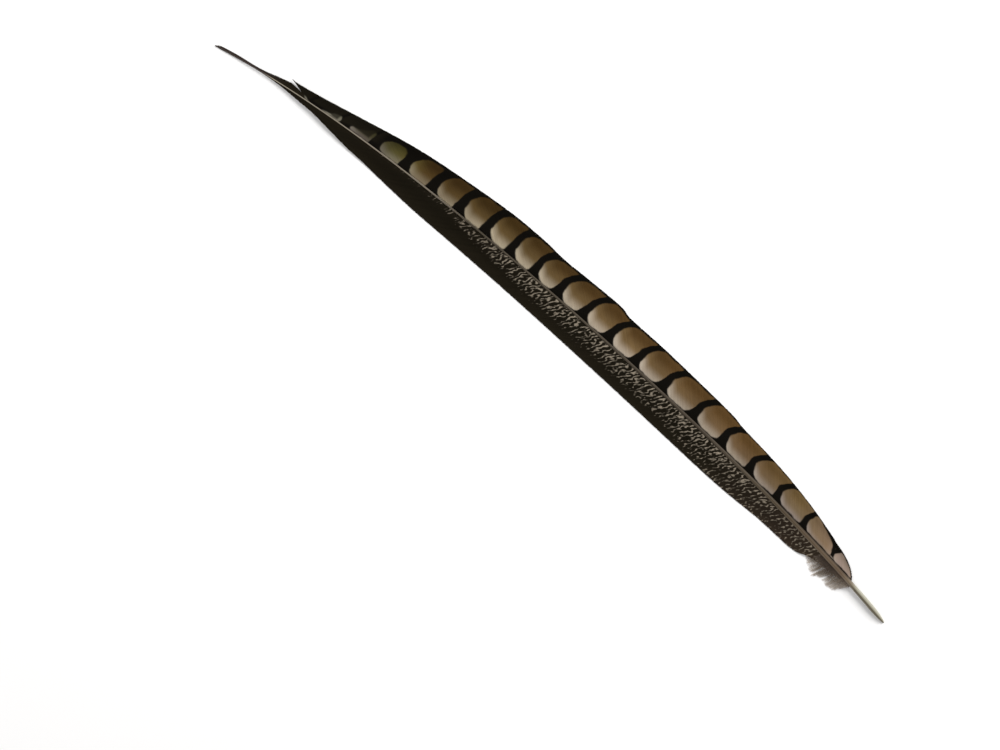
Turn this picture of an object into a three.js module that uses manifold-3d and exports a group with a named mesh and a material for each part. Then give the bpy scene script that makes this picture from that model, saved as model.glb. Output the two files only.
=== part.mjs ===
// A pheasant's side tail feather, lying on a surface with its upper side up.
//
// Millimetres. +X runs from the quill's end to the tip and +Z is up. Seen from above, the wide
// barred vane lies towards -Y and the narrower mottled vane towards +Y. The feather grew as one
// piece, so it is one solid: the shaft, both vanes and the down are joined where they meet.
//
// Places on the feather are given as a distance from its tip, measured along the straight line
// from the tip to the quill's end, and a distance out from the shaft, square to the shaft.

import * as THREE from 'three';
import { mergeVertices } from 'three/addons/utils/BufferGeometryUtils.js';
import Module from 'manifold-3d';

const wasm = await Module();
wasm.setup();

// The whole feather
const LENGTH = 531; // straight from the tip to the quill's end
const BOW = 19; // how far the shaft stands off that line, at its middle
const BOW_LEAN = 0.18; // how much fuller the bow is towards the tip
const BOW_ENDS = 0.33; // how much rounder the bow is towards both ends
const ARCH = 5.5; // how high the underside of the shaft rises, at its middle

// The shaft and the quill
const TIP_RADIUS = 0.3;
const QUILL_RADIUS = 1.7;
const QUILL_THICKEST = 515; // distance from the tip
const QUILL_POINT_LENGTH = 14; // the quill's blunt lower end
const SHAFT_DEPTH = 1.15; // height of the shaft's section over its width
const GROOVE_DEPTH = 0.35; // of the groove under the shaft, as a share of its radius
const SHAFT_SIDES = 8;
const SHAFT_STEPS = 32;

// The vanes: barbs leave the shaft at a flat angle near the tip and a steep one near the quill
const BARB_ANGLE_TIP = 20;
const BARB_ANGLE_BASE = 66;
const TUFT_ANGLE = 13;
const ROOT_HEIGHT = 0.4; // of a vane's underside on the shaft, as a share of the shaft's radius
const ROOT_THICKNESS = 0.75;
const EDGE_THICKNESS = 0.4;
const EAVES = 0.75; // past this share of its width, a vane lies flat on the surface
const NARROW_VANE = 4; // a vane this narrow stands off with the shaft
const WIDE_VANE = 13; // and one this wide reaches down to the surface

// The locks that a vane's barbs part into
const LOCK_RIDGE = 0.35; // how far a lock's edge stands over the next lock
const LOCK_NOTCH = 0.6; // how far the margin draws in between two locks
const BARRED_LOCKS = 30;
const MOTTLED_LOCKS = 33;
const TUFT_LOCKS = 3;

// Margins, as [distance from the tip, half width]. The tuft is parted from the barred vane.
const TUFT_MARGIN = [[0, 0.9], [20, 1.0], [36, 1.8], [49, 3.0]];
const BARRED_MARGIN = [
  [47.5, 6.2], [53, 5.3], [72, 6.2], [98, 9.8], [140, 15.8], [200, 20.6], [287, 20.6],
  [350, 19.2], [400, 17.6], [433, 16], [474, 10.7], [489, 7.5], [498, 1.6],
];
const MOTTLED_MARGIN = [
  [0, 0.9], [36, 1.2], [72, 4.8], [113, 10], [155, 14.4], [215, 16.3],
  [299, 17.8], [389, 17.4], [433, 13.8], [457, 11.3], [465, 7.2], [475, 4.6], [500, 2.2],
];

// Down at the foot of the mottled vane
const DOWN_LOCKS = 8;
const DOWN_FIRST = 482; // distance from the tip of the first lock's root
const DOWN_LAST = 501;
const DOWN_OUT = 11.5; // how far out the down reaches
const DOWN_SWEEP = 13; // how far it leans towards the tip
const DOWN_WIDTH = 5.6;
const DOWN_THICKNESS = 0.7;

const BARRED = -1; // sides, as the direction out from the shaft
const MOTTLED = 1;

// The shaft's centre line
function bow(distance) {
  const share = distance / LENGTH;
  const lean = 1 - 2 * share;
  return 4 * share * (1 - share) * BOW * (1 + BOW_LEAN * lean + BOW_ENDS * lean * lean);
}

function arch(distance) {
  const share = distance / LENGTH;
  return 4 * share * (1 - share) * ARCH;
}

function shaftRadius(distance) {
  const grown = TIP_RADIUS + (QUILL_RADIUS - TIP_RADIUS) * (distance / QUILL_THICKEST) ** 1.7;
  const pastShoulder = Math.max(0, distance - (LENGTH - QUILL_POINT_LENGTH)) / QUILL_POINT_LENGTH;
  return grown * Math.sqrt(1 - (0.9 * pastShoulder) ** 2);
}

// A point at a distance from the tip, a distance out along +Y or -Y, and a height
function place(distance, out, height) {
  const step = 0.5;
  const turn = Math.atan2(bow(distance + step) - bow(distance - step), 2 * step);
  const x = LENGTH - distance + out * Math.sin(turn);
  const y = -bow(distance) + out * Math.cos(turn);
  return new THREE.Vector3(x, y, height);
}

function smoothstep(value) {
  const t = THREE.MathUtils.clamp(value, 0, 1);
  return t * t * (3 - 2 * t);
}

// Six times the volume that a closed mesh holds, below zero if its faces point inwards
function signedVolume(position, index) {
  const [a, b, c] = [new THREE.Vector3(), new THREE.Vector3(), new THREE.Vector3()];
  let sum = 0;
  for (let i = 0; i < index.count; i += 3) {
    a.fromBufferAttribute(position, index.getX(i));
    b.fromBufferAttribute(position, index.getX(i + 1));
    c.fromBufferAttribute(position, index.getX(i + 2));
    sum += a.dot(b.cross(c));
  }
  return sum;
}

// A three.js geometry whose points are moved by a function becomes a closed solid. A move that
// mirrors the shape turns it inside out, so the order of its corners is turned round again.
function solidFrom(geometry, move) {
  const shape = geometry.clone();
  shape.deleteAttribute('normal');
  shape.deleteAttribute('uv');
  const position = shape.attributes.position;
  const point = new THREE.Vector3();
  for (let i = 0; i < position.count; i += 1) {
    point.fromBufferAttribute(position, i);
    const moved = move(point);
    position.setXYZ(i, moved.x, moved.y, moved.z);
  }
  const welded = mergeVertices(shape, 1e-4);
  const corners = new Uint32Array(welded.index.array);
  if (signedVolume(welded.attributes.position, welded.index) < 0) {
    corners.reverse();
  }
  const mesh = new wasm.Mesh({
    numProp: 3,
    vertProperties: new Float32Array(welded.attributes.position.array),
    triVerts: corners,
  });
  return new wasm.Manifold(mesh);
}

// Shaft and quill: a round section, a little deeper than wide, with a groove along its underside.
// The steps lie closer and closer towards the quill's end, which is rounded.
function makeShaft() {
  const rod = new THREE.CylinderGeometry(1, 1, 1, SHAFT_SIDES, SHAFT_STEPS);
  return solidFrom(rod, (point) => {
    const distance = Math.sin((0.5 - point.y) * Math.PI / 2) * LENGTH;
    const radius = shaftRadius(distance);
    const centre = arch(distance) + radius * SHAFT_DEPTH;
    const underneath = point.z < -0.9 && distance < QUILL_THICKEST;
    const up = point.z * radius * SHAFT_DEPTH * (underneath ? 1 - GROOVE_DEPTH : 1);
    return place(distance, point.x * radius, centre + up);
  });
}

// How high a vane's underside lies, at a share of the way from the shaft to the margin
function undersideHeight(distance, share, halfWidth) {
  const spread = (halfWidth - NARROW_VANE) / (WIDE_VANE - NARROW_VANE);
  const edge = arch(distance) * (1 - smoothstep(spread));
  const root = arch(distance) + shaftRadius(distance) * ROOT_HEIGHT;
  return edge + (root - edge) * (1 - smoothstep(share / EAVES));
}

function barbAngle(distance) {
  const share = Math.min(1, distance / LENGTH) ** 1.2;
  return THREE.MathUtils.degToRad(BARB_ANGLE_TIP + (BARB_ANGLE_BASE - BARB_ANGLE_TIP) * share);
}

// A vane is a thin plate. Its columns follow the barbs from the shaft to the margin, three to a
// lock, and its rows run along the feather. Each lock's upper face rises to a ridge over the next.
const LOCK_COLUMNS = [0, 0.5, 0.93];
const VANE_ROWS = [0, 0.2, 0.4, 0.58, 0.76, 1];

function makeVane(side, marginPoints, locks, angleAt) {
  const margin = new THREE.SplineCurve(marginPoints.map(([distance, out]) => (
    new THREE.Vector2(distance, out)
  )));
  const columns = locks * LOCK_COLUMNS.length;
  const rows = VANE_ROWS.length - 1;
  const plate = new THREE.BoxGeometry(1, 1, 1, columns, rows, 1);
  return solidFrom(plate, (point) => {
    const column = Math.round((point.x + 0.5) * columns);
    const lock = Math.floor(column / LOCK_COLUMNS.length);
    const acrossLock = LOCK_COLUMNS[column % LOCK_COLUMNS.length];
    const edge = margin.getPointAt(Math.min(1, (lock + acrossLock) / locks));
    const notch = acrossLock === 0.5 ? 0 : Math.min(LOCK_NOTCH, edge.y * 0.1);
    const halfWidth = edge.y - notch;
    const share = VANE_ROWS[Math.round((point.y + 0.5) * rows)];
    const root = edge.x + edge.y / Math.tan(angleAt(edge.x));
    const distance = root + (edge.x - root) * share;
    const inside = -0.3 * shaftRadius(root);
    const out = inside + (halfWidth - inside) * share;
    const under = undersideHeight(distance, share, edge.y);
    const ridge = LOCK_RIDGE * acrossLock * smoothstep(edge.y / NARROW_VANE) * Math.min(1, share * 4);
    const thick = ROOT_THICKNESS + (EDGE_THICKNESS - ROOT_THICKNESS) * share + ridge;
    return place(distance, side * out, point.z > 0 ? under + thick : under);
  });
}

// One lock of down: a tapering tongue that leans towards the tip and droops to the surface
function makeDownLock(root) {
  const tongue = new THREE.BoxGeometry(1, 1, 1, 4, 1, 1);
  const reach = 0.7 + 0.3 * Math.sin((root - DOWN_FIRST) / (DOWN_LAST - DOWN_FIRST) * Math.PI);
  return solidFrom(tongue, (point) => {
    const along = point.x + 0.5;
    const width = DOWN_WIDTH * (1 - 0.7 * along);
    const distance = root - DOWN_SWEEP * reach * along ** 1.3 + point.y * width;
    const out = DOWN_OUT * reach * along;
    const height = (arch(root) + shaftRadius(root)) * (1 - smoothstep(along));
    return place(distance, MOTTLED * out, height + (point.z + 0.5) * DOWN_THICKNESS);
  });
}

let solid = makeShaft();
solid = solid.add(makeVane(BARRED, BARRED_MARGIN, BARRED_LOCKS, barbAngle));
solid = solid.add(makeVane(MOTTLED, MOTTLED_MARGIN, MOTTLED_LOCKS, barbAngle));
solid = solid.add(makeVane(BARRED, TUFT_MARGIN, TUFT_LOCKS, () => THREE.MathUtils.degToRad(TUFT_ANGLE)));
for (let i = 0; i < DOWN_LOCKS; i += 1) {
  solid = solid.add(makeDownLock(THREE.MathUtils.lerp(DOWN_FIRST, DOWN_LAST, i / (DOWN_LOCKS - 1))));
}

// The joined solid goes back to three.js, with its origin under its middle, on the surface
const joined = solid.getMesh();
const geometry = new THREE.BufferGeometry();
geometry.setAttribute('position', new THREE.BufferAttribute(joined.vertProperties, 3));
geometry.setIndex(new THREE.BufferAttribute(joined.triVerts, 1));
geometry.computeBoundingBox();
const { min, max } = geometry.boundingBox;
geometry.translate(-(min.x + max.x) / 2, -(min.y + max.y) / 2, -min.z);
geometry.computeVertexNormals();

const keratin = new THREE.MeshStandardMaterial({ color: 0x6b5c45, roughness: 0.6, metalness: 0 });
const feather = new THREE.Mesh(geometry, keratin);
feather.name = 'feather';

const group = new THREE.Group();
group.add(feather);

export default group;
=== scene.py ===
import math

import bpy
import numpy as np
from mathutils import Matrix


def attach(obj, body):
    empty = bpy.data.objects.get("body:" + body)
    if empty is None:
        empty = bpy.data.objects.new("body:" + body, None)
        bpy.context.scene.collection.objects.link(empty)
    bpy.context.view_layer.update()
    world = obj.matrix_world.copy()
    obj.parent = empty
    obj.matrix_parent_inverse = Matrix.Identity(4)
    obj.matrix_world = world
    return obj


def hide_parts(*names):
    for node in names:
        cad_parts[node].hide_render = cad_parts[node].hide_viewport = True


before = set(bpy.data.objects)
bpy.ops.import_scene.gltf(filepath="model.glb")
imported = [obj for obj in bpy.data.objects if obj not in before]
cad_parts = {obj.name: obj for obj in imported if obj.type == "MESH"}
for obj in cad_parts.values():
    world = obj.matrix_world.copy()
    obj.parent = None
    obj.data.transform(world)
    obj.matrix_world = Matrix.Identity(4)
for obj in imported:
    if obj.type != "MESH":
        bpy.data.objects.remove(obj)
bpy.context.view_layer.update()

# ==== Shaft and quill ====
# The rod of horn that carries both vanes: a thread at the tip, a bare translucent quill at the
# other end, with a groove along its underside. It grew in one piece with the barbs. It is made as
# one long cylinder cut into rings, and the rings are laid along the feather's bow.
#
# A place on the feather is a distance from its tip, along the straight line from the tip to the
# quill's end, a distance out from the shaft, and a height, in millimetres. The frame is in metres.
MM = 0.001
LENGTH = 531
BOW = 19  # how far the shaft stands off the straight line, at its middle
BOW_LEAN = 0.18  # how much fuller the bow is towards the tip
BOW_ENDS = 0.33  # how much rounder it is towards both ends
ARCH = 5.5  # how high the shaft's underside rises, at its middle
TIP_RADIUS = 0.3
QUILL_RADIUS = 1.7
SHAFT_TAPER = 1.7  # above 1, the shaft thickens late, towards the quill
QUILL_THICKEST = 515
QUILL_POINT_LENGTH = 14
SHAFT_DEPTH = 1.15  # height of the shaft's section over its width
GROOVE_DEPTH = 0.35  # as a share of the shaft's half height
GROOVE_WIDTH = 0.4  # as a share of its half width
GROOVE_END = 512  # the groove fades out where the quill is bare
GROOVE_FADE = 12
FURROW_DEPTH = 0.1  # a shallow furrow along the upper side
FURROW_WIDTH = 0.3
SHAFT_SIDES = 24
SHAFT_STEPS = 260

BARRED = -1  # the sides, as the direction out from the shaft
MOTTLED = 1

corners = np.array([v.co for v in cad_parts["feather"].data.vertices])
quill_end = corners[corners[:, 0] < corners[:, 0].min() + 0.5 * MM].mean(axis=0)


def bow(distance):
    share = distance / LENGTH
    lean = 1 - 2 * share
    return 4 * share * (1 - share) * BOW * (1 + BOW_LEAN * lean + BOW_ENDS * lean**2)


def arch(distance):
    share = distance / LENGTH
    return 4 * share * (1 - share) * ARCH


def shaft_radius(distance):
    share = np.maximum(distance, 0) / QUILL_THICKEST
    grown = TIP_RADIUS + (QUILL_RADIUS - TIP_RADIUS) * share**SHAFT_TAPER
    past_shoulder = np.clip((distance - LENGTH + QUILL_POINT_LENGTH) / QUILL_POINT_LENGTH, 0, 1)
    return grown * np.sqrt(1.02 - past_shoulder**2)


def place(distance, out, height):
    turn = np.arctan2(bow(distance + 0.5) - bow(distance - 0.5), 1)
    x = LENGTH - distance + out * np.sin(turn)
    y = -bow(distance) + out * np.cos(turn)
    return np.stack([quill_end[0] + x * MM, quill_end[1] + y * MM, height * MM], axis=-1)


def corners_of(piece):
    flat = np.empty(len(piece.data.vertices) * 3)
    piece.data.vertices.foreach_get("co", flat)
    return flat.reshape(-1, 3)


def lay(piece, points):
    piece.data.vertices.foreach_set("co", points.astype(np.float32).ravel())
    piece.data.update()


def note(piece, name, values):
    """Keeps a number or a vector at each corner, for the material to read."""
    kind, field = ("FLOAT_VECTOR", "vector") if values.ndim == 2 else ("FLOAT", "value")
    attribute = piece.data.attributes.new(name, kind, "POINT")
    attribute.data.foreach_set(field, values.astype(np.float32).ravel())


def ringed_rod(name, sides, steps):
    """A cylinder one unit long, whose long edges are cut into steps."""
    bpy.ops.object.select_all(action="DESELECT")
    bpy.ops.mesh.primitive_cylinder_add(vertices=sides, radius=1, depth=1, calc_uvs=False)
    piece = bpy.context.object
    piece.name = piece.data.name = name
    bpy.ops.object.mode_set(mode="EDIT")
    bpy.ops.mesh.select_mode(type="EDGE")
    bpy.ops.mesh.select_all(action="DESELECT")
    bpy.ops.object.mode_set(mode="OBJECT")
    for edge in piece.data.edges:
        first, second = (piece.data.vertices[i].co for i in edge.vertices)
        edge.select = abs(first.z - second.z) > 0.5
    bpy.ops.object.mode_set(mode="EDIT")
    bpy.ops.mesh.subdivide(number_cuts=steps - 1)
    bpy.ops.object.mode_set(mode="OBJECT")
    return piece


def smooth_skin(piece, angle):
    """Turns every face outwards and smooths the edges flatter than an angle."""
    bpy.ops.object.select_all(action="DESELECT")
    piece.select_set(True)
    bpy.context.view_layer.objects.active = piece
    bpy.ops.object.mode_set(mode="EDIT")
    bpy.ops.mesh.select_all(action="SELECT")
    bpy.ops.mesh.normals_make_consistent(inside=False)
    bpy.ops.object.mode_set(mode="OBJECT")
    bpy.ops.object.shade_smooth_by_angle(angle=math.radians(angle))


shaft = ringed_rod("shaft_and_quill", SHAFT_SIDES, SHAFT_STEPS)
sideways, upwards, lengthways = corners_of(shaft).T
distance = LENGTH * (1 - np.cos((lengthways + 0.5) * math.pi)) / 2
radius = shaft_radius(distance)
groove = GROOVE_DEPTH * np.exp(-((sideways / GROOVE_WIDTH) ** 2))
groove = groove * np.clip((GROOVE_END - distance) / GROOVE_FADE, 0, 1)
furrow = FURROW_DEPTH * np.exp(-((sideways / FURROW_WIDTH) ** 2))
rise = upwards * SHAFT_DEPTH * np.where(upwards < 0, 1 - groove, 1 - furrow)
lay(shaft, place(distance, sideways * radius, arch(distance) + radius * (SHAFT_DEPTH + rise)))
note(shaft, "seat", np.stack([distance, sideways, upwards], axis=-1))

# the flat map of its skin: around the shaft from left to right, and along it upwards
bake_map = shaft.data.uv_layers.new(name="OFBake")
for face in shaft.data.polygons:
    turns = [math.atan2(upwards[i], sideways[i]) / math.tau % 1 for i in face.vertices]
    for loop, turn in zip(face.loop_indices, turns):
        corner = shaft.data.loops[loop].vertex_index
        along = 0.03 + 0.94 * (lengthways[corner] + 0.5)
        around = 1.0 if turn < 0.01 and max(turns) > 0.9 else turn
        if len(face.vertices) == SHAFT_SIDES:
            along += 0.02 * (sideways[corner] + 1) * (1 if along > 0.5 else -1) * 0.5
        bake_map.uv[loop].vector = (0.01 + 0.98 * around, along)
smooth_skin(shaft, angle=50)


def linear(colour):
    """An sRGB hex colour as linear red, green and blue, and alpha."""
    parts = [int(colour[i : i + 2], 16) / 255 for i in (1, 3, 5)]
    return [p / 12.92 if p <= 0.04045 else ((p + 0.055) / 1.055) ** 2.4 for p in parts] + [1]


def add_node(material, kind, settings=None, inputs=None, stops=()):
    """Adds a node. An input is a value, a socket, or a node whose first output is linked.

    A colour ramp starts with two stops, so a list of stops begins with the first and the last.
    """
    tree = material.node_tree
    node = tree.nodes.new(kind)
    for name, value in (settings or {}).items():
        setattr(node, name, value)
    for name, value in (inputs or {}).items():
        if isinstance(value, bpy.types.Node):
            value = value.outputs[0]
        if isinstance(value, bpy.types.NodeSocket):
            tree.links.new(value, node.inputs[name])
        else:
            node.inputs[name].default_value = value
    for i, (position, colour) in enumerate(stops):
        ramp = node.color_ramp.elements
        stop = ramp[i] if i < 2 else ramp.new(position)
        stop.position = position
        stop.color = linear(colour)
    return node


# Horn, as grown: satin, with fine streaks along its length. It is dark between the vanes, where
# pigment fills it, and clears to a pale straw colour in the quill.
STREAK_LENGTH = 50
STREAKS_ACROSS = 5  # in half the shaft's width

horn = bpy.data.materials.new("horn, satin as grown")
horn.use_nodes = True
surface = horn.node_tree.nodes["Principled BSDF"]
surface.inputs["Roughness"].default_value = 0.48
surface.inputs["IOR"].default_value = 1.54
surface.inputs["Specular IOR Level"].default_value = 0.16
seat = add_node(horn, "ShaderNodeAttribute", {"attribute_name": "seat"})
parts = add_node(horn, "ShaderNodeSeparateXYZ", inputs={0: seat.outputs["Vector"]})
length_share = add_node(horn, "ShaderNodeMath", {"operation": "DIVIDE"}, {0: parts, 1: LENGTH})
length_colours = add_node(
    horn, "ShaderNodeValToRGB", inputs={0: length_share},
    stops=[
        (0.0, "#3a302b"), (1.0, "#b3b0a1"), (0.06, "#3a302b"), (0.075, "#8b8373"), (0.28, "#7a7162"),
        (0.35, "#433b2e"), (0.70, "#3b3226"), (0.82, "#574d3e"), (0.905, "#756655"), (0.925, "#746353"),
        (0.94, "#8e8272"), (0.953, "#a9a798"),
    ],
)
streaks = add_node(
    horn, "ShaderNodeMapping", {"vector_type": "POINT"},
    {"Vector": seat.outputs["Vector"], "Scale": (1 / STREAK_LENGTH, STREAKS_ACROSS, STREAKS_ACROSS)},
)
streak_noise = add_node(
    horn, "ShaderNodeTexNoise", inputs={"Vector": streaks, "Scale": 1.0, "Detail": 3.0},
)
streak_tone = add_node(
    horn, "ShaderNodeMapRange",
    inputs={"Value": streak_noise, "From Min": 0.3, "From Max": 0.7, "To Min": 0.82, "To Max": 1.14},
)
across_shaft = add_node(
    horn, "ShaderNodeMapRange", inputs={"Value": parts.outputs["Y"], "From Min": -1.0, "From Max": 1.0},
)
# painted light and shade across the thin shaft, the thick shaft and the bare quill: painted shadow lines
# where the vanes meet the shaft and along the quill; the thick shaft painted darker on the side towards
# the key light and lighter on the far side, to even out its shading; the quill's edge on the barred side
# painted light, as lit
thin_shaft_painted_shade = add_node(
    horn, "ShaderNodeValToRGB", inputs={0: across_shaft},
    stops=[(0.0, "#9a948c"), (1.0, "#8f8880"), (0.2, "#ffffff"), (0.8, "#ffffff")],
)
thick_shaft_painted_light_and_shade = add_node(
    horn, "ShaderNodeValToRGB", inputs={0: across_shaft},
    stops=[
        (0.0, "#8c8478"), (1.0, "#a8a090"), (0.14, "#8f8779"), (0.3, "#bbb3a5"), (0.5, "#cfc7b9"),
        (0.62, "#a9a091"), (0.74, "#f0ebe2"), (0.92, "#ffffff"),
    ],
)
quill_painted_light_and_shade = add_node(
    horn, "ShaderNodeValToRGB", inputs={0: across_shaft},
    stops=[
        (0.0, "#ffffff"), (1.0, "#d8d4cc"), (0.2, "#f4f3f0"), (0.35, "#e0ded8"), (0.5, "#d2cfc6"),
        (0.6, "#a39c90"), (0.72, "#887f71"), (0.86, "#a39b8e"),
    ],
)
thickening = add_node(
    horn, "ShaderNodeMapRange", inputs={"Value": parts, "From Min": 380.0, "From Max": 440.0},
)
baring = add_node(
    horn, "ShaderNodeMapRange", inputs={"Value": parts, "From Min": 496.0, "From Max": 504.0},
)
vaned_painted_shade = add_node(
    horn, "ShaderNodeMix", {"data_type": "RGBA"}, {0: thickening, 6: thin_shaft_painted_shade, 7: thick_shaft_painted_light_and_shade},
)
bands = add_node(
    horn, "ShaderNodeMix", {"data_type": "RGBA"}, {0: baring, 6: vaned_painted_shade.outputs[2], 7: quill_painted_light_and_shade},
)
# the painted light and shade scale the horn's colour along its length
banded = add_node(
    horn, "ShaderNodeVectorMath", {"operation": "MULTIPLY"}, {0: length_colours, 1: bands.outputs[2]},
)
toned = add_node(
    horn, "ShaderNodeVectorMath", {"operation": "SCALE"}, {0: banded, "Scale": streak_tone},
)
streak_bump = add_node(
    horn, "ShaderNodeBump", inputs={"Strength": 0.15, "Distance": 0.0001, "Height": streak_noise},
)
horn.node_tree.links.new(toned.outputs[0], surface.inputs["Base Color"])
horn.node_tree.links.new(streak_bump.outputs[0], surface.inputs["Normal"])
shaft.data.materials.append(horn)
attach(shaft, "root")
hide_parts("feather")

# ==== Barred vane ====
# Nearly a thousand flat barbs of soft keratin, side by side, which hook together into one sheet.
# Each grew from the shaft's side and sweeps to the tip. One barb is modelled, a low ridge over a
# flat underside, copied in a row, and the row is laid out over the vane.
BARB_SPACING = 0.45  # a little coarser than real barbs, so that they show
BARB_STEPS = 14
BARB_STRIDE = 4  # between the modelled barbs in their row, before they are laid out
BARB_OVERLAP = 1.7  # a barb's width over its spacing
BARB_RISE = 0.18
BARB_CURL = 0.22  # how much more steeply a barb leaves the shaft than it ends
BARB_ANGLE_TIP = 20
BARB_ANGLE_BASE = 66
BARB_ANGLE_GROWTH = 1.2  # above 1, the angle grows late, towards the quill
EAVES = 0.75  # past this share of its width, a vane lies flat
NARROW_VANE = 4  # a vane this narrow stands off with the shaft
WIDE_VANE = 13  # and one this wide reaches down to the surface
LOCK_SIZES = (9, 26)  # barbs that cling together
LOCK_LIFT = 0.18
LOCK_SWEEP = 0.12  # of the barbs' spacing, to either side
LOCK_NOTCH = 0.25  # how much shorter the outer barbs of a lock may be
BARB_SWEEP = 0.06  # as for a lock, but of each barb by itself
BARB_SHORTER = 0.1  # how much shorter any barb may be
BARB_TILT = 0.04  # each barb rests on its neighbour
ROOT_DEPTH = 0.4  # where a barb starts, out from the shaft's middle, in shaft radii
ROOT_HEIGHT = 1.45  # and over the shaft's underside, in shaft radii
MARGIN_HEIGHT = 0.12  # of a vane's margin over the surface
LOWEST = 0.03  # no barb lies lower than this
SPLIT_REACH = 3  # how far along the margin a split pushes barbs apart
SPLITS = [(249, 0.24), (354, 0.16)]  # where barbs have parted at the margin, and how far
BARRED_MARGIN = [
    (47.5, 6.6), (53, 6.2), (72, 7.6), (98, 11.1), (120, 14.4), (140, 16.8), (170, 19.2), (200, 21.3),
    (215, 21.6), (230, 21.4), (243, 20.6), (260, 21.2), (287, 22.1), (297, 20.6), (324, 20.8),
    (351, 20.5), (381, 20.1), (392, 18.9), (415, 18.1), (433, 17.1), (455, 14.8), (473, 12),
    (480, 10.6), (487, 9.5), (493, 7.5), (497, 4.9), (498.8, 2.5),
]
# where each dark bar leaves the shaft
BARS = [
    45, 66.5, 87, 108.2, 130.1, 151.4, 172.1, 193, 212.8, 231.8, 249.9, 269.6,
    290, 311.7, 333.8, 358.9, 383.2, 407, 430.8, 453.8, 480.2, 504, 528,
]
# How the bars and the patches between them change along the vane: a distance and a value each. A
# bar leans to the quill, by one amount half way across the vane and by another at the margin.
BAR_THICKNESS = [
    (90, 6.2), (155, 5.6), (175, 5.2), (195, 4.5), (217, 3.9), (270, 3.7), (345, 4.2), (385, 4.3),
    (405, 3.9), (440, 3.6), (465, 3.3), (480, 2.5),
]
BAR_LEAN_HALF_WAY = [
    (235, 0.2), (270, 3.0), (362, 3.2), (385, 1.2), (430, 0.0), (455, 0.5), (465, 0.0), (478, -0.8),
]
BAR_LEAN = [
    (150, 2.2), (175, 1.2), (215, 1.1), (235, 2.4), (270, 6.2), (365, 7.0), (385, 5.3), (432, 4.6),
    (455, 3.4), (468, 1.0), (478, 3.2),
]
# How a bar departs from that straight course, by the share of the way from the shaft to the margin:
# it bulges to the tip half way across, turns to the quill near the margin, and widens at the shaft.
BAR_SWAY = [
    (0.0, -1.3), (0.2, -1.1), (0.4, -0.7), (0.6, -1.1), (0.7, -0.4), (0.8, 0.1), (0.88, 1.4), (1.0, 2.4),
]
BAR_SWELL = [
    (0.0, 3.0), (0.12, 2.7), (0.2, 2.0), (0.3, 1.3), (0.5, 0.5), (0.7, 0.4), (0.8, 0.4), (0.88, -0.6),
    (1.0, -1.0),
]
# how much of that each bar shows, along the vane
BAR_SWAY_SHARE = [
    (150, 0.2), (180, 0.7), (235, 0.7), (255, 1.1), (400, 1.0), (430, 0.8), (455, 0.5), (470, 0.0),
]
# how wide the dark edge outside the patches is
DARK_EDGE = [
    (110, 3.4), (131, 2.6), (145, 1.7), (170, 1.0), (250, 1.1), (290, 1.1), (350, 1.0), (420, 0.3),
    (462, 0.3), (470, 1.1), (476, 2.2), (480, 3.0), (483, 1.6), (485, 0.7),
]
# painted shade: the patches stop this far short of the shaft, which leaves a thin black line for the shadow
# where the vane meets it
PAINTED_SHADE_BY_SHAFT = [(250, 0.0), (400, 0.3), (450, 0.5)]  # a dark line between the patches and the shaft
# how far out the patches reach, as a share of the vane's width
PATCH_REACH = [
    (50, 0.12), (55, 0.35), (61, 0.35), (64, 0.12), (74, 0.12), (79, 0.18), (82, 0.42), (86, 0.48),
    (88, 0.3), (96, 0.34), (101, 0.46), (106, 0.82), (120, 0.84), (130, 0.74), (145, 0.93), (170, 1.2),
]
RIM_AT_SHAFT = [(78, 1.6), (81, 0.3), (87, 0.4), (94, 2.6)]  # the first patches are dark beyond it
RIM_AT_BAR = 1.8
# how round each corner of a patch is: towards the tip, then towards the quill
OUTER_CORNER = [
    (95, 2.0), (118, 5.5), (150, 6.5), (280, 6.5), (310, 5.0), (438, 4.5), (457, 2.0), (479, 1.0),
]
INNER_CORNER = [(95, 2.0), (125, 5.5), (280, 6.0), (310, 4.8), (440, 4.5), (458, 3.4), (480, 1.5)]
FOOT_CORNER = [(200, 1.0), (245, 2.5), (270, 3.0), (380, 3.5), (400, 1.5), (480, 1.0)]
BACK_CORNER = [
    (88, 2.5), (98, 4.0), (113, 4.0), (124, 6.0), (133, 5.5), (150, 3.0), (165, 1.0), (460, 1.0),
    (469, 4.5), (479, 4.5), (481, 1.0),
]


def barb_angle(distance):
    share = np.clip(distance / LENGTH, 0, 1) ** BARB_ANGLE_GROWTH
    return np.radians(BARB_ANGLE_TIP + (BARB_ANGLE_BASE - BARB_ANGLE_TIP) * share)


def smoothstep(value):
    t = np.clip(value, 0, 1)
    return t * t * (3 - 2 * t)


def along_list(distance, points):
    """A value that changes along the feather, given at a few distances from the tip."""
    return np.interp(distance, [p[0] for p in points], [p[1] for p in points])


def margin_line(points):
    """A smooth line through a margin's points, as distances and half widths."""
    p = np.array(points, float)
    p = np.vstack([p[0], p, p[-1]])
    t = np.linspace(0, 1, 40, endpoint=False)[:, None]
    spans = [
        0.5 * (2 * b + (c - a) * t + (2 * a - 5 * b + 4 * c - d) * t**2 + (3 * b - a - 3 * c + d) * t**3)
        for a, b, c, d in zip(p, p[1:], p[2:], p[3:])
    ]
    return np.vstack([*spans, p[-1]]).T


def roots_of(points, angles):
    """Where the barbs leave the shaft, from the one at a margin's first point to the one at its last."""
    first, last = (d + w / math.tan(angles(d)) for d, w in (points[0], points[-1]))
    return np.arange(first, last, BARB_SPACING)


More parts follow.
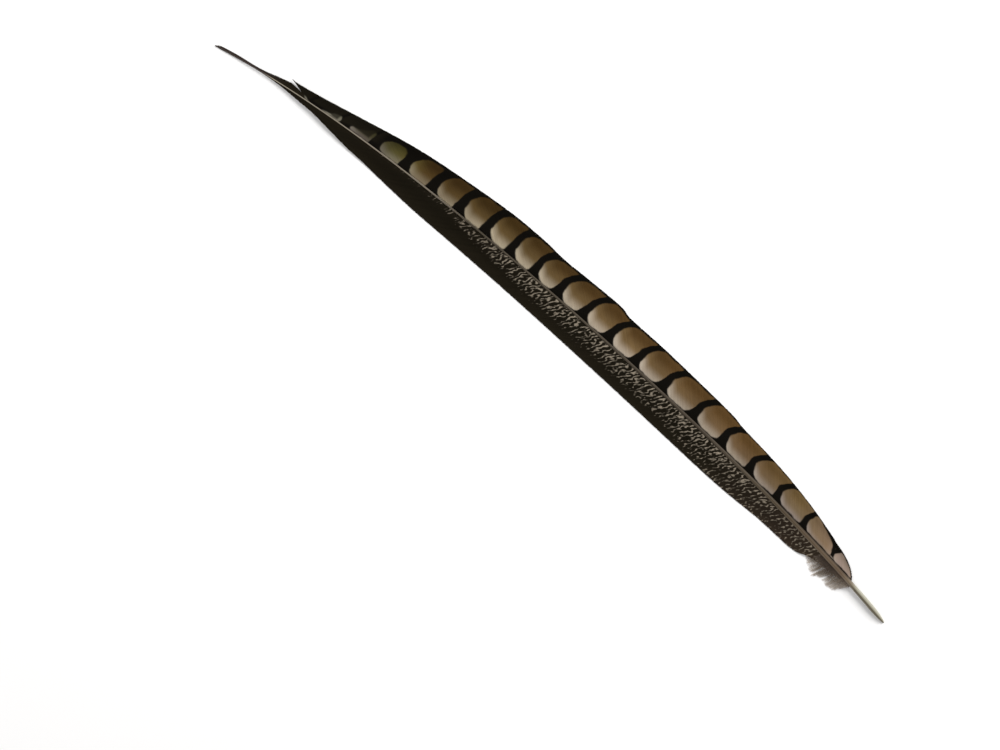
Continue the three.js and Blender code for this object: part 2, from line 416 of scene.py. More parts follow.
def row_of_barbs(name, barbs, steps):
    """One barb and its copies. Gives the piece, and each corner's barb, side, ridge and length share."""
    piece = ringed_rod(name, sides=3, steps=steps)
    row = piece.modifiers.new("row", "ARRAY")
    row.use_relative_offset = False
    row.use_constant_offset = True
    row.constant_offset_displace = (BARB_STRIDE, 0, 0)
    row.count = barbs
    bpy.ops.object.modifier_apply(modifier=row.name)
    x, y, z = corners_of(piece).T
    barb = np.rint(x / BARB_STRIDE).astype(int)
    side = np.rint(x - barb * BARB_STRIDE)
    return piece, barb, side, y > 0, z + 0.5


def bake_barbs(piece, barb, side, ridge, share, strips):
    """Gives each barb a cell of its own in the bake's map, its upper side apart from its underside."""
    mesh = piece.data
    per_strip = math.ceil((barb.max() + 1) / strips)
    starts = np.empty(len(mesh.polygons), int)
    sizes = np.empty(len(mesh.polygons), int)
    mesh.polygons.foreach_get("loop_start", starts)
    mesh.polygons.foreach_get("loop_total", sizes)
    face = np.repeat(np.arange(len(sizes)), sizes)
    corner = np.empty(len(mesh.loops), int)
    mesh.loops.foreach_get("vertex_index", corner)
    upper = np.logical_or.reduceat(ridge[corner], starts)
    cap = sizes == 3
    row = 2 * (barb[corner] // per_strip) + (upper & ~cap)[face]
    past_end = np.where(cap[face] & ridge[corner], np.where(share[corner] > 0.5, 0.02, -0.02), 0)
    u = (barb[corner] % per_strip + 0.5 + 0.45 * side[corner]) / per_strip
    v = (row + 0.03 + 0.94 * share[corner] + past_end) / (2 * strips)
    layer = mesh.uv_layers.new(name="OFBake")
    layer.uv.foreach_set("vector", np.stack([u, v], axis=-1).astype(np.float32).ravel())


def lay_vane(piece, barb, side, ridge, share, direction, margin, roots, angles, seed, splits=()):
    """Lays a row of barbs out from the shaft. Gives each corner's distance, way out and half width."""
    rng = np.random.default_rng(seed)
    edge_distance, edge_out = margin
    edge_root = edge_distance + edge_out / np.tan(angles(edge_distance))
    ends = np.interp(roots, edge_root, edge_distance)
    widths = np.interp(roots, edge_root, edge_out)

    lock_ends = np.cumsum(rng.integers(*LOCK_SIZES, size=len(roots)))
    lock = np.searchsorted(lock_ends, np.arange(len(roots)), side="right")
    lock_starts = np.concatenate([[0], lock_ends])
    in_lock = (np.arange(len(roots)) - lock_starts[lock]) / (lock_starts[lock + 1] - lock_starts[lock])
    sweep = rng.normal(0, LOCK_SWEEP, lock.max() + 1)[lock] + rng.normal(0, BARB_SWEEP, len(roots))
    sweep *= np.gradient(ends)
    for split, gap in splits:
        apart = ends - split
        sweep += gap * np.sign(apart) * np.exp(-np.abs(apart) / SPLIT_REACH)
    shorter = BARB_SHORTER * rng.random(len(roots))
    shorter += LOCK_NOTCH * np.abs(2 * in_lock - 1) ** 6 * rng.random(len(roots))

    t = 1 - (1 - share) ** 1.5
    root, end, width = roots[barb], ends[barb], widths[barb]
    grip = smoothstep(width / NARROW_VANE)
    reached = t * (1 - shorter[barb] * grip / width)
    bend = reached - BARB_CURL * reached * (1 - reached)
    distance = root + (end - root) * bend + sweep[barb] * grip * t**2
    inside = ROOT_DEPTH * shaft_radius(root)
    out = inside + (width - inside) * reached
    spacing = np.gradient(roots)[barb] * (1 - bend) + np.gradient(ends)[barb] * bend
    # a barb is narrow where it leaves the shaft, and comes to a point
    taper = np.minimum(1, 0.35 + 12 * t) * np.clip((1.01 - t) * 33, 0.3, 1)
    distance = distance + side * 0.5 * BARB_OVERLAP * spacing * taper

    spread = smoothstep((width - NARROW_VANE) / (WIDE_VANE - NARROW_VANE))
    edge_height = arch(distance) * (1 - spread) + MARGIN_HEIGHT
    root_height = arch(distance) + ROOT_HEIGHT * shaft_radius(root)
    height = edge_height + (root_height - edge_height) * (1 - smoothstep(t / EAVES))
    steep = np.sin(angles(root))  # the barbs lie closer together where they sweep to the tip
    height += LOCK_LIFT * steep * in_lock[barb] * grip * np.minimum(1, 4 * t) + BARB_TILT * steep * side
    height += np.where(ridge, BARB_RISE * steep * np.clip((1.04 - t) * 6, 0.2, 1), 0)
    lay(piece, place(distance, direction * out, np.maximum(height, LOWEST)))
    half_width = np.interp(distance, edge_distance, edge_out)
    return distance, out, half_width, rng


margin = margin_line(BARRED_MARGIN)
roots = roots_of(BARRED_MARGIN, barb_angle)
vane, barb, side, ridge, share = row_of_barbs("barred_vane", len(roots), BARB_STEPS)
distance, out, half_width, rng = lay_vane(
    vane, barb, side, ridge, share, BARRED, margin, roots, barb_angle, seed=11, splits=SPLITS,
)
across = np.clip(out / half_width, 0, 1)
half_way = along_list(distance, BAR_LEAN_HALF_WAY)
beyond = along_list(distance, BAR_LEAN) - half_way
lean = half_way * np.minimum(2 * across, 1) + beyond * np.maximum(2 * across - 1, 0)
sway_share = along_list(distance, BAR_SWAY_SHARE)
lean += along_list(across, BAR_SWAY) * sway_share
thickness = along_list(distance, BAR_THICKNESS) + along_list(across, BAR_SWELL) * sway_share
bar_count = np.interp(distance - lean, BARS, np.arange(len(BARS)))
period = np.interp(distance - lean, BARS[:-1], np.diff(BARS))
reach = along_list(distance, PATCH_REACH) * half_width - out
from_margin = np.minimum(half_width - out - along_list(distance, DARK_EDGE), reach)
# the patches begin past the painted shadow line beside the shaft
from_shaft = out - shaft_radius(distance) - along_list(distance, PAINTED_SHADE_BY_SHAFT)
note(vane, "seat", np.stack([distance, out, across], axis=-1))
corner_sizes = [along_list(distance, c) for c in (OUTER_CORNER, INNER_CORNER, FOOT_CORNER, BACK_CORNER)]
note(vane, "bar", np.stack([bar_count, period, thickness], axis=-1))
note(vane, "inset", np.stack([from_margin, from_shaft, corner_sizes[3]], axis=-1))
note(vane, "corner", np.stack(corner_sizes[:3], axis=-1))
note(vane, "rim", along_list(distance, RIM_AT_SHAFT))
note(vane, "barb", rng.random(len(roots))[barb])
bake_barbs(vane, barb, side, ridge, share, strips=4)
smooth_skin(vane, angle=40)

# Barred barbs, natural and unwashed: matt keratin that catches no highlight. Bars of black melanin
# are as deep as velvet. The patches between them are round towards the tip, and each pales from
# brown at the vane's edge to cream in its corner beside the shaft, partly in pigment and partly as
# painted shade of the vane sloping down to the table.
barred = bpy.data.materials.new("keratin barbs, barred, matt as grown")
barred.use_nodes = True
surface = barred.node_tree.nodes["Principled BSDF"]
surface.inputs["Roughness"].default_value = 0.88
surface.inputs["IOR"].default_value = 1.54
surface.inputs["Specular IOR Level"].default_value = 0.03
seat = add_node(barred, "ShaderNodeAttribute", {"attribute_name": "seat"})
place_parts = add_node(barred, "ShaderNodeSeparateXYZ", inputs={0: seat.outputs["Vector"]})
bars = add_node(barred, "ShaderNodeAttribute", {"attribute_name": "bar"})
bar_parts = add_node(barred, "ShaderNodeSeparateXYZ", inputs={0: bars.outputs["Vector"]})
insets = add_node(barred, "ShaderNodeAttribute", {"attribute_name": "inset"})
inset_parts = add_node(barred, "ShaderNodeSeparateXYZ", inputs={0: insets.outputs["Vector"]})
from_margin, from_shaft = inset_parts.outputs["X"], inset_parts.outputs["Y"]
corners = add_node(barred, "ShaderNodeAttribute", {"attribute_name": "corner"})
corner_parts = add_node(barred, "ShaderNodeSeparateXYZ", inputs={0: corners.outputs["Vector"]})
barb_value = add_node(barred, "ShaderNodeAttribute", {"attribute_name": "barb"}).outputs["Fac"]
fraction = add_node(barred, "ShaderNodeMath", {"operation": "FRACT"}, {0: bar_parts})
past_bar = add_node(
    barred, "ShaderNodeMath", {"operation": "MULTIPLY"}, {0: fraction, 1: bar_parts.outputs["Y"]},
)
from_bar = add_node(
    barred, "ShaderNodeMath", {"operation": "SUBTRACT"}, {0: past_bar, 1: bar_parts.outputs["Z"]},
)
to_next_bar = add_node(
    barred, "ShaderNodeMath", {"operation": "SUBTRACT"}, {0: bar_parts.outputs["Y"], 1: past_bar},
)


def round_corner(first, second, size):
    """How deep a point lies inside two edges that meet in a round corner, up to the corner's size."""
    short = [
        add_node(barred, "ShaderNodeMath", {"operation": "SUBTRACT"}, {0: size, 1: depth})
        for depth in (first, second)
    ]
    kept = [
        add_node(barred, "ShaderNodeMath", {"operation": "MAXIMUM"}, {0: node, 1: 0.0}) for node in short
    ]
    both = add_node(barred, "ShaderNodeCombineXYZ", inputs={0: kept[0], 1: kept[1]})
    apart = add_node(barred, "ShaderNodeVectorMath", {"operation": "LENGTH"}, {0: both})
    return add_node(
        barred, "ShaderNodeMath", {"operation": "SUBTRACT"}, {0: size, 1: apart.outputs["Value"]},
    )


outer_depth = round_corner(from_bar, from_margin, corner_parts.outputs["X"])
inner_depth = round_corner(from_bar, from_shaft, corner_parts.outputs["Y"])
foot_depth = round_corner(to_next_bar, from_shaft, corner_parts.outputs["Z"])
back_depth = round_corner(to_next_bar, from_margin, inset_parts.outputs["Z"])
patch_depth = outer_depth
for depth in (inner_depth, foot_depth, back_depth):
    patch_depth = add_node(barred, "ShaderNodeMath", {"operation": "MINIMUM"}, {0: patch_depth, 1: depth})

# The last bar is only a hook at the margin: its inner part is missing.
BROKEN_FROM = 467
BROKEN_OUT = 2.4  # how far out from the shaft's middle it is missing
past_break = add_node(barred, "ShaderNodeMath", {"operation": "SUBTRACT"}, {0: place_parts, 1: BROKEN_FROM})
below_break = add_node(
    barred, "ShaderNodeMath", {"operation": "SUBTRACT"}, {0: BROKEN_OUT, 1: place_parts.outputs["Y"]},
)
break_depth = add_node(barred, "ShaderNodeMath", {"operation": "MINIMUM"}, {0: past_break, 1: below_break})
open_depth = add_node(barred, "ShaderNodeMath", {"operation": "MINIMUM"}, {0: break_depth, 1: from_shaft})
patch_depth = add_node(barred, "ShaderNodeMath", {"operation": "MAXIMUM"}, {0: patch_depth, 1: open_depth})

barb_shift = add_node(
    barred, "ShaderNodeMapRange", inputs={"Value": barb_value, "To Min": -0.06, "To Max": 0.06},
)
# the patches' edges are a little ragged, in waves about 4.5 mm long
edge_noise = add_node(
    barred, "ShaderNodeTexNoise", inputs={"Vector": seat.outputs["Vector"], "Scale": 0.22, "Detail": 1.0},
)
edge_shift = add_node(
    barred, "ShaderNodeMapRange",
    inputs={"Value": edge_noise, "From Min": 0.3, "From Max": 0.7, "To Min": -0.3, "To Max": 0.3},
)
shifts = add_node(barred, "ShaderNodeMath", {"operation": "ADD"}, {0: barb_shift, 1: edge_shift})
ragged_depth = add_node(barred, "ShaderNodeMath", {"operation": "ADD"}, {0: patch_depth, 1: shifts})
patch_share = add_node(
    barred, "ShaderNodeMapRange", {"interpolation_type": "SMOOTHSTEP"},
    {"Value": ragged_depth, "From Min": -0.4, "From Max": 0.7},
)

# the three colours of a patch along the vane: beside the shaft, half way across and at the margin;
# they darken outwards partly in pigment and partly as painted shade
length_share = add_node(barred, "ShaderNodeMath", {"operation": "DIVIDE"}, {0: place_parts, 1: LENGTH})
pale_colours = add_node(
    barred, "ShaderNodeValToRGB", inputs={0: length_share},
    stops=[
        (0.15, "#9a9584"), (0.915, "#8c7f74"), (0.19, "#70665e"), (0.235, "#77715e"), (0.275, "#695e4b"),
        (0.39, "#988d78"), (0.576, "#9d9283"), (0.753, "#8b8173"), (0.844, "#807670"), (0.895, "#7c7063"),
    ],
)
tan_colours = add_node(
    barred, "ShaderNodeValToRGB", inputs={0: length_share},
    stops=[
        (0.15, "#8e8975"), (0.915, "#85756a"), (0.19, "#4d4833"), (0.235, "#504a27"), (0.275, "#423218"),
        (0.39, "#4f3f25"), (0.576, "#5f4c31"), (0.753, "#5a4731"), (0.844, "#5f503b"), (0.895, "#6e5b46"),
    ],
)
deep_colours = add_node(
    barred, "ShaderNodeValToRGB", inputs={0: length_share},
    stops=[
        (0.15, "#7c7862"), (0.915, "#7c6d60"), (0.19, "#3d3a26"), (0.235, "#3d3818"), (0.275, "#32230e"),
        (0.39, "#362710"), (0.576, "#49351b"), (0.753, "#523c20"), (0.844, "#5c4a2e"), (0.895, "#705d4a"),
    ],
)
# a patch deepens on the way out, partly in pigment and partly as painted shade of the sloping vane,
# and a little on the way from the bar
beyond_rim = add_node(
    barred, "ShaderNodeMapRange", {"interpolation_type": "SMOOTHSTEP"},
    {"Value": from_bar, "From Min": 0.0, "From Max": 6.0, "To Max": 0.15},
)
deepening_and_painted_shade = add_node(
    barred, "ShaderNodeMath", {"operation": "MULTIPLY_ADD"},
    {0: place_parts.outputs["Z"], 1: 0.85, 2: beyond_rim},
)
to_tan = add_node(
    barred, "ShaderNodeMapRange", {"interpolation_type": "SMOOTHSTEP"},
    {"Value": deepening_and_painted_shade, "From Min": 0.12, "From Max": 0.52},
)
to_deep = add_node(
    barred, "ShaderNodeMapRange", {"interpolation_type": "SMOOTHSTEP"},
    {"Value": deepening_and_painted_shade, "From Min": 0.45, "From Max": 0.82},
)
inner_colour = add_node(
    barred, "ShaderNodeMix", {"data_type": "RGBA"}, {0: to_tan, 6: pale_colours, 7: tan_colours},
)
patch_colour = add_node(
    barred, "ShaderNodeMix", {"data_type": "RGBA"},
    {0: to_deep, 6: inner_colour.outputs[2], 7: deep_colours},
)
first_share = add_node(
    barred, "ShaderNodeMapRange", {"interpolation_type": "SMOOTHSTEP"},
    {"Value": place_parts, "From Min": 112.0, "From Max": 140.0, "To Min": 0.5, "To Max": 1.0},
)
dimmed_share = add_node(
    barred, "ShaderNodeMath", {"operation": "MULTIPLY"}, {0: patch_share, 1: first_share},
)
pigment = add_node(
    barred, "ShaderNodeMix", {"data_type": "RGBA"},
    {0: dimmed_share, 6: linear("#0a0805"), 7: patch_colour.outputs[2]},
)

# The first patches from the tip are dim, and are only a rim along the shaft and the next bar.
rim_at_shaft = add_node(barred, "ShaderNodeAttribute", {"attribute_name": "rim"}).outputs["Fac"]
past_rim = [
    add_node(barred, "ShaderNodeMath", {"operation": "SUBTRACT"}, {0: depth, 1: rim})
    for depth, rim in ((from_shaft, rim_at_shaft), (to_next_bar, RIM_AT_BAR))
]
core_depth = add_node(barred, "ShaderNodeMath", {"operation": "MINIMUM"}, {0: past_rim[0], 1: past_rim[1]})
core_share = add_node(
    barred, "ShaderNodeMapRange", {"interpolation_type": "SMOOTHSTEP"},
    {"Value": core_depth, "From Min": -0.6, "From Max": 1.1},
)
first_patches = add_node(
    barred, "ShaderNodeMapRange",
    inputs={"Value": place_parts, "From Min": 110.0, "From Max": 114.0, "To Min": 0.85, "To Max": 0.0},
)
darkening = add_node(barred, "ShaderNodeMath", {"operation": "MULTIPLY"}, {0: core_share, 1: first_patches})
cored = add_node(
    barred, "ShaderNodeMix", {"data_type": "RGBA"},
    {0: darkening, 6: pigment.outputs[2], 7: linear("#14110a")},
)

# cloudy tones, about 17 mm across
patch_noise = add_node(
    barred, "ShaderNodeTexNoise", inputs={"Vector": seat.outputs["Vector"], "Scale": 0.06, "Detail": 1.0},
)
patch_tone = add_node(
    barred, "ShaderNodeMapRange",
    inputs={"Value": patch_noise, "From Min": 0.3, "From Max": 0.7, "To Min": 0.9, "To Max": 1.1},
)
barb_tone = add_node(
    barred, "ShaderNodeMapRange", inputs={"Value": barb_value, "To Min": 0.93, "To Max": 1.07},
)
tone = add_node(barred, "ShaderNodeMath", {"operation": "MULTIPLY"}, {0: patch_tone, 1: barb_tone})
toned = add_node(
    barred, "ShaderNodeVectorMath", {"operation": "SCALE"}, {0: cored.outputs[2], "Scale": tone},
)
barred.node_tree.links.new(toned.outputs[0], surface.inputs["Base Color"])
vane.data.materials.append(barred)
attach(vane, "root")
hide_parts("feather")

# ==== Mottled vane ====
# The narrower vane, on the shaft's other side: more than a thousand barbs like those of the barred
# vane. It runs from the tip to the down, and is laid out in the same way from a row of its own.
MOTTLED_MARGIN = [
    (0, 0.4), (4, 0.6), (14, 0.5), (26, 0.4), (36, 0.6), (48, 1.5), (60, 3.1), (72, 4.5), (85, 7),
    (100, 9.6), (113, 10.9), (130, 13), (155, 15.2), (185, 16.1), (215, 16.7), (299, 17.8),
    (389, 17.4), (432, 13.9), (447, 13.1), (456, 12.5), (462, 11.3), (469, 8), (475, 6.6),
    (483, 5), (500, 2.2),
]
# how far out the mottling reaches, the width over which it ends there, and how much of it there is
MOTTLE_OUT = [
    (110, 2), (150, 3), (170, 4.5), (190, 7.5), (215, 9.5), (240, 11.5), (300, 12.5), (350, 13.5),
    (380, 17), (420, 20),
]
MOTTLE_FADE = 4
MOTTLE_STRENGTH = [
    (80, 0.2), (110, 0.55), (150, 0.66), (170, 0.72), (193, 0.8), (215, 0.93), (240, 1.0),
    (380, 1.0), (410, 0.92), (435, 0.87), (455, 0.88), (470, 0.85), (500, 0.4),
]
MOTTLE_THINNING = 0.25  # how much less of it there is away from the shaft
THINNING_FROM = 5  # this far out
THINNING_OVER = 6

margin = margin_line(MOTTLED_MARGIN)
roots = roots_of(MOTTLED_MARGIN, barb_angle)
vane, barb, side, ridge, share = row_of_barbs("mottled_vane", len(roots), BARB_STEPS)
distance, out, half_width, rng = lay_vane(
    vane, barb, side, ridge, share, MOTTLED, margin, roots, barb_angle, seed=12,
)
mottle = along_list(distance, MOTTLE_STRENGTH)
mottle = mottle * (1 - smoothstep((out - along_list(distance, MOTTLE_OUT)) / MOTTLE_FADE + 0.5))
mottle = mottle * (1 - MOTTLE_THINNING * smoothstep((out - THINNING_FROM) / THINNING_OVER))
note(vane, "seat", np.stack([distance, out, out / half_width], axis=-1))
note(vane, "mottle", mottle)
note(vane, "barb", rng.random(len(roots))[barb])
bake_barbs(vane, barb, side, ridge, share, strips=4)
smooth_skin(vane, angle=40)

# Mottled barbs, natural: the same matt keratin, brown-black, with broken wavy strokes of a pale
# buff that cross the barbs. The strokes stand about 3 mm apart and lean to the tip.
STROKE_SPACING = 2.9
STROKE_LEAN = 0.65  # how far a stroke runs to the tip for each millimetre out
WAVES_PER_UNIT = 20 / math.tau  # of a wave texture at a scale of one
BREAK_LENGTH = 3.8  # along a stroke
BREAK_WIDTH = 2.6

mottled = bpy.data.materials.new("keratin barbs, mottled, matt as grown")
mottled.use_nodes = True
surface = mottled.node_tree.nodes["Principled BSDF"]
surface.inputs["Roughness"].default_value = 0.88
surface.inputs["IOR"].default_value = 1.54
surface.inputs["Specular IOR Level"].default_value = 0.03
seat = add_node(mottled, "ShaderNodeAttribute", {"attribute_name": "seat"})
place_parts = add_node(mottled, "ShaderNodeSeparateXYZ", inputs={0: seat.outputs["Vector"]})
mottle_value = add_node(mottled, "ShaderNodeAttribute", {"attribute_name": "mottle"}).outputs["Fac"]
barb_value = add_node(mottled, "ShaderNodeAttribute", {"attribute_name": "barb"}).outputs["Fac"]
stroke_root = add_node(
    mottled, "ShaderNodeMath", {"operation": "MULTIPLY_ADD"},
    {0: place_parts.outputs["Y"], 1: STROKE_LEAN, 2: place_parts},
)
stroke_place = add_node(
    mottled, "ShaderNodeCombineXYZ", inputs={0: stroke_root, 1: place_parts.outputs["Y"]},
)
waves = add_node(
    mottled, "ShaderNodeTexWave", {"wave_type": "BANDS", "bands_direction": "X"},
    {
        "Vector": stroke_place, "Scale": 1 / WAVES_PER_UNIT / STROKE_SPACING, "Distortion": 8.0,
        "Detail": 1.0, "Detail Scale": 2.4, "Detail Roughness": 0.5,
    },
)
break_scale = add_node(
    mottled, "ShaderNodeMapping", {"vector_type": "POINT"},
    {"Vector": stroke_place, "Scale": (2 / BREAK_WIDTH, 2 / BREAK_LENGTH, 1)},
)
breaks = add_node(
    mottled, "ShaderNodeTexNoise",
    inputs={"Vector": break_scale, "Scale": 1.0, "Detail": 1.0, "Roughness": 0.5},
)
strokes = add_node(
    mottled, "ShaderNodeMath", {"operation": "MULTIPLY_ADD"}, {0: waves.outputs["Fac"], 1: 0.55, 2: breaks},
)
threshold = add_node(
    mottled, "ShaderNodeMapRange",
    inputs={"Value": mottle_value, "To Min": 1.25, "To Max": 0.78},
)
above = add_node(mottled, "ShaderNodeMath", {"operation": "SUBTRACT"}, {0: strokes, 1: threshold})
stroke_share = add_node(
    mottled, "ShaderNodeMapRange", {"interpolation_type": "SMOOTHSTEP"},
    {"Value": above, "From Min": 0.0, "From Max": 0.36},
)
stroke_colour = add_node(
    mottled, "ShaderNodeMix", {"data_type": "RGBA"},
    {0: mottle_value, 6: linear("#3a3228"), 7: linear("#928776")},
)
length_share = add_node(mottled, "ShaderNodeMath", {"operation": "DIVIDE"}, {0: place_parts, 1: LENGTH})
ground_colour = add_node(
    mottled, "ShaderNodeValToRGB", inputs={0: length_share},
    stops=[
        (0.0, "#332b27"), (1.0, "#665a4e"), (0.06, "#2a231f"), (0.09, "#1a160e"), (0.72, "#1a160e"),
        (0.84, "#2a221a"), (0.905, "#32291f"), (0.935, "#665a4e"),
    ],
)
pigment = add_node(
    mottled, "ShaderNodeMix", {"data_type": "RGBA"},
    {0: stroke_share, 6: ground_colour, 7: stroke_colour.outputs[2]},
)
barb_tone = add_node(
    mottled, "ShaderNodeMapRange", inputs={"Value": barb_value, "To Min": 0.9, "To Max": 1.1},
)
toned = add_node(
    mottled, "ShaderNodeVectorMath", {"operation": "SCALE"}, {0: pigment.outputs[2], "Scale": barb_tone},
)
mottled.node_tree.links.new(toned.outputs[0], surface.inputs["Base Color"])
vane.data.materials.append(mottled)
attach(vane, "root")
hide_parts("feather")

# ==== Tuft at the tip ====
# The barred side's first barbs, black and very narrow, which lie close along the shaft and are
# parted from the barred vane. They are a short row laid out in the same way.
TUFT_ANGLE = 13
TUFT_MARGIN = [(0, 0.6), (3, 1.5), (14, 1.7), (24, 1.4), (32, 1.7), (40, 3.0), (49, 4.3)]


def tuft_angle(distance):
    return np.full_like(np.asarray(distance, float), math.radians(TUFT_ANGLE))


margin = margin_line(TUFT_MARGIN)
roots = roots_of(TUFT_MARGIN, tuft_angle)
tuft, barb, side, ridge, share = row_of_barbs("tip_tuft", len(roots), BARB_STEPS)
distance, out, half_width, rng = lay_vane(
    tuft, barb, side, ridge, share, BARRED, margin, roots, tuft_angle, seed=13,
)
note(tuft, "seat", np.stack([distance, out, out / half_width], axis=-1))
note(tuft, "mottle", np.zeros(len(distance)))
note(tuft, "barb", rng.random(len(roots))[barb])
bake_barbs(tuft, barb, side, ridge, share, strips=2)
smooth_skin(tuft, angle=40)
tuft.data.materials.append(mottled)
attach(tuft, "root")
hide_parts("feather")

# ==== Down ====
# Loose soft barbs at the foot of the mottled vane, with long free barbules that don't hook
# together. One barb and one barbule are modelled, copied in rows, and bent to their places.
DOWN_BARBS = 78
DOWN_FIRST = 476  # distance of the first barb's root from the tip
DOWN_LAST = 500
# how far out the down reaches, by the share of the way from its first barb to its last
DOWN_REACH = [
    (0.0, 8.0), (0.15, 11.5), (0.35, 12.8), (0.42, 9.5), (0.5, 11.2), (0.85, 9.8), (1.0, 6.5),
]
DOWN_SWEEP = 7.5  # towards the tip, at the first barbs
DOWN_SWEEP_LAST = 3
DOWN_CLUMP = 6  # barbs that cling together at their ends
CLUMP_PULL = 0.4  # how far they lean to the middle of their clump, as a share of the way
DOWN_START = 0.5  # where a downy barb starts, out from the shaft's middle
DOWN_HEIGHT = 0.25  # over the surface, at its end
DOWN_STEPS = 10
BARBULES = 60  # on each barb, both sides
BARBULE_LENGTH = 1.8
DOWN_WIDTH = 0.14  # half of a downy barb's, at its root
BARBULE_WIDTH = 0.05
BARBULE_SPREAD = (0.5, 1.0)  # angle from the barb, in radians

# each clump and each barb differs a little from the next in place, length, sweep, curl and lift
rng = np.random.default_rng(21)
down_share = np.linspace(0, 1, DOWN_BARBS)
clump = np.arange(DOWN_BARBS) // DOWN_CLUMP
clumps = clump.max() + 1
down_root = DOWN_FIRST + (DOWN_LAST - DOWN_FIRST) * down_share + rng.normal(0, 0.3, DOWN_BARBS)
clump_root = np.bincount(clump, down_root)[clump] / np.bincount(clump)[clump]
down_size = along_list(down_share, DOWN_REACH)
down_size *= 1 + rng.normal(0, 0.05, clumps)[clump] + rng.normal(0, 0.05, DOWN_BARBS)
down_sweep = DOWN_SWEEP + (DOWN_SWEEP_LAST - DOWN_SWEEP) * down_share
down_sweep += rng.normal(0, 1.0, clumps)[clump] + rng.normal(0, 0.5, DOWN_BARBS)
down_curl = rng.uniform(-0.8, 0.8, clumps)[clump] + rng.normal(0, 0.25, DOWN_BARBS)
down_lift = rng.uniform(0.0, 1.6, DOWN_BARBS)


def down_path(barb, t):
    """Distance, way out and height along a downy barb."""
    root = down_root[barb]
    distance = root + (clump_root[barb] - root) * CLUMP_PULL * t - down_sweep[barb] * t**1.3
    distance += down_curl[barb] * np.sin(1.7 * math.pi * t)
    out = DOWN_START + down_size[barb] * t
    foot = arch(root) + 1.2 * shaft_radius(root)
    height = foot * (1 - smoothstep(t * 1.2)) + DOWN_HEIGHT
    height = height + down_lift[barb] * np.sin(math.pi * t) * 0.7
    return distance, out, height


barbs, barb, side, ridge, share = row_of_barbs("down", DOWN_BARBS, DOWN_STEPS)
distance, out, height = down_path(barb, share)
thin = DOWN_WIDTH * (1 - 0.75 * share)
lay(barbs, place(distance + side * thin, MOTTLED * out, height + np.where(ridge, 1.4 * thin, 0)))
note(barbs, "seat", np.stack([distance, out, share], axis=-1))
bake_barbs(barbs, barb, side, ridge, share, strips=1)
smooth_skin(barbs, angle=40)

barbules, index, side, ridge, share = row_of_barbs("down_barbules", DOWN_BARBS * BARBULES, steps=2)
owner, order = index // BARBULES, index % BARBULES
start = 0.06 + 0.94 * (order // 2 + 0.5) / (BARBULES / 2)
hand = np.where(order % 2 == 0, 1, -1)
distance, out, height = down_path(owner, start)
next_distance, next_out, _ = down_path(owner, start + 0.01)
run = np.hypot(next_distance - distance, next_out - out)
forward = np.stack([(next_distance - distance) / run, (next_out - out) / run])
spread_angle = hand * rng.uniform(*BARBULE_SPREAD, DOWN_BARBS * BARBULES)[index]
way = np.stack([
    forward[0] * np.cos(spread_angle) - forward[1] * np.sin(spread_angle),
    forward[0] * np.sin(spread_angle) + forward[1] * np.cos(spread_angle),
])
size = BARBULE_LENGTH * rng.uniform(0.6, 1.1, DOWN_BARBS * BARBULES)[index] * (1.05 - 0.55 * start)
droop = rng.uniform(-0.5, 0.6, DOWN_BARBS * BARBULES)[index]
thin = BARBULE_WIDTH * (1 - 0.8 * share)
distance = distance + way[0] * size * share - way[1] * side * thin
out = out + way[1] * size * share + way[0] * side * thin
height = np.maximum(height + droop * share**1.5 + np.where(ridge, 1.6 * thin, 0), LOWEST)
lay(barbules, place(distance, MOTTLED * out, height))
note(barbules, "seat", np.stack([distance, out, start], axis=-1))
bake_barbs(barbules, index, side, ridge, share, strips=8)
smooth_skin(barbules, angle=40)

# Down: the softest keratin, unpigmented at its ends, so it looks grey-brown near the shaft and
# fades to a pale warm grey. A little sheen stands for the light that its thin edges scatter.
fluff = bpy.data.materials.new("down, soft and loose")
fluff.use_nodes = True
surface = fluff.node_tree.nodes["Principled BSDF"]
surface.inputs["Roughness"].default_value = 0.8
surface.inputs["IOR"].default_value = 1.54
surface.inputs["Specular IOR Level"].default_value = 0.1
surface.inputs["Sheen Weight"].default_value = 0.1
seat = add_node(fluff, "ShaderNodeAttribute", {"attribute_name": "seat"})
place_parts = add_node(fluff, "ShaderNodeSeparateXYZ", inputs={0: seat.outputs["Vector"]})
paler = add_node(
    fluff, "ShaderNodeMapRange",
    inputs={"Value": place_parts, "From Min": 484.0, "From Max": 498.0, "To Min": 0.0, "To Max": 0.4},
)
along_barb = add_node(
    fluff, "ShaderNodeMath", {"operation": "ADD"}, {0: place_parts.outputs["Z"], 1: paler},
)
fade = add_node(
    fluff, "ShaderNodeValToRGB", inputs={0: along_barb},
    stops=[(0.0, "#3a2f26"), (1.0, "#c2b8ad"), (0.35, "#5d4f42"), (0.7, "#948778")],
)
fluff.node_tree.links.new(fade.outputs[0], surface.inputs["Base Color"])
for piece in (barbs, barbules):
    piece.data.materials.append(fluff)
    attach(piece, "root")
    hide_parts("feather")

# ==== Floor, light and camera ====
# A white table top under a large soft light on one side and a fainter one on the other, seen from
# straight above, with the feather's tip at the upper left and the quill at the lower right.
PICTURE_WIDTH = 1000  # in pixels
PICTURE_HEIGHT = 750
MIDDLE_AT = (549.6, 333.9)  # pixel of the middle between the tip and the quill's end
MM_PER_PIXEL = 0.6
CAMERA_TURN = math.radians(-139.19)
LENS = 85
SENSOR = 36
SCALE_HEIGHT = 3  # the height that the picture's scale holds at
FLOOR_GAP = 0.2  # between the table top and the feather's flat underside

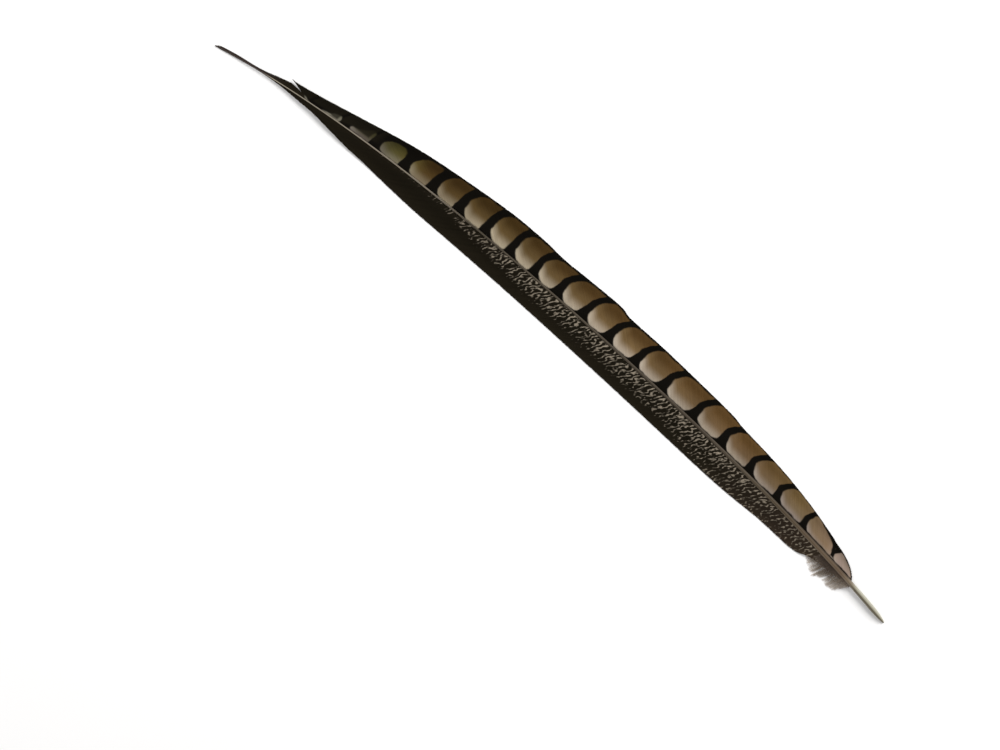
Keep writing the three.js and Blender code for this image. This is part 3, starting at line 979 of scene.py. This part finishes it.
bpy.ops.object.select_all(action="DESELECT")
bpy.ops.mesh.primitive_plane_add(size=6, location=(0, 0, -FLOOR_GAP * MM))
floor = bpy.context.object
floor.name = "floor"
bpy.ops.object.transform_apply(location=True, rotation=True, scale=True)
paper = bpy.data.materials.new("white paper, matt")
paper.use_nodes = True
paper_surface = paper.node_tree.nodes["Principled BSDF"]
paper_surface.inputs["Base Color"].default_value = linear("#f0efed")
paper_surface.inputs["Roughness"].default_value = 0.9
paper_surface.inputs["Specular IOR Level"].default_value = 0.1
floor.data.materials.append(paper)

right = np.array([math.cos(CAMERA_TURN), math.sin(CAMERA_TURN)])
up = np.array([-math.sin(CAMERA_TURN), math.cos(CAMERA_TURN)])
middle = quill_end[:2] + np.array([LENGTH / 2 * MM, 0])
picture_right = (PICTURE_WIDTH / 2 - MIDDLE_AT[0]) * MM_PER_PIXEL * MM
picture_up = (MIDDLE_AT[1] - PICTURE_HEIGHT / 2) * MM_PER_PIXEL * MM
centre = middle + right * picture_right + up * picture_up
height = PICTURE_WIDTH * MM_PER_PIXEL * MM * LENS / SENSOR

camera_data = bpy.data.cameras.new("camera")
camera_data.lens = LENS
camera_data.sensor_width = SENSOR
camera = bpy.data.objects.new("camera", camera_data)
camera.location = (centre[0], centre[1], height + SCALE_HEIGHT * MM)
camera.rotation_euler = (0, 0, CAMERA_TURN)
bpy.context.scene.collection.objects.link(camera)
bpy.context.scene.camera = camera


def add_light(name, to_right, to_up, height, size, power):
    """A square soft box over the table, turned to its middle. Places are in metres in the picture."""
    data = bpy.data.lights.new(name, "AREA")
    data.size = size
    data.energy = power
    light = bpy.data.objects.new(name, data)
    where = np.append(centre + right * to_right + up * to_up, height)
    aim = np.append(centre, 0) - where
    light.location = where
    light.rotation_euler = (
        math.atan2(math.hypot(aim[0], aim[1]), -aim[2]), 0, math.atan2(aim[1], aim[0]) - math.pi / 2,
    )
    bpy.context.scene.collection.objects.link(light)


add_light("key soft box", to_right=0.9, to_up=0.8, height=1.1, size=1.2, power=30)
add_light("fill soft box", to_right=-1.0, to_up=0.2, height=1.3, size=1.4, power=10)
world = bpy.data.worlds.new("studio")
world.use_nodes = True
world.node_tree.nodes["Background"].inputs["Color"].default_value = linear("#fbfbff")
world.node_tree.nodes["Background"].inputs["Strength"].default_value = 0.45
bpy.context.scene.world = world
bpy.context.scene.view_settings.view_transform = "Standard"
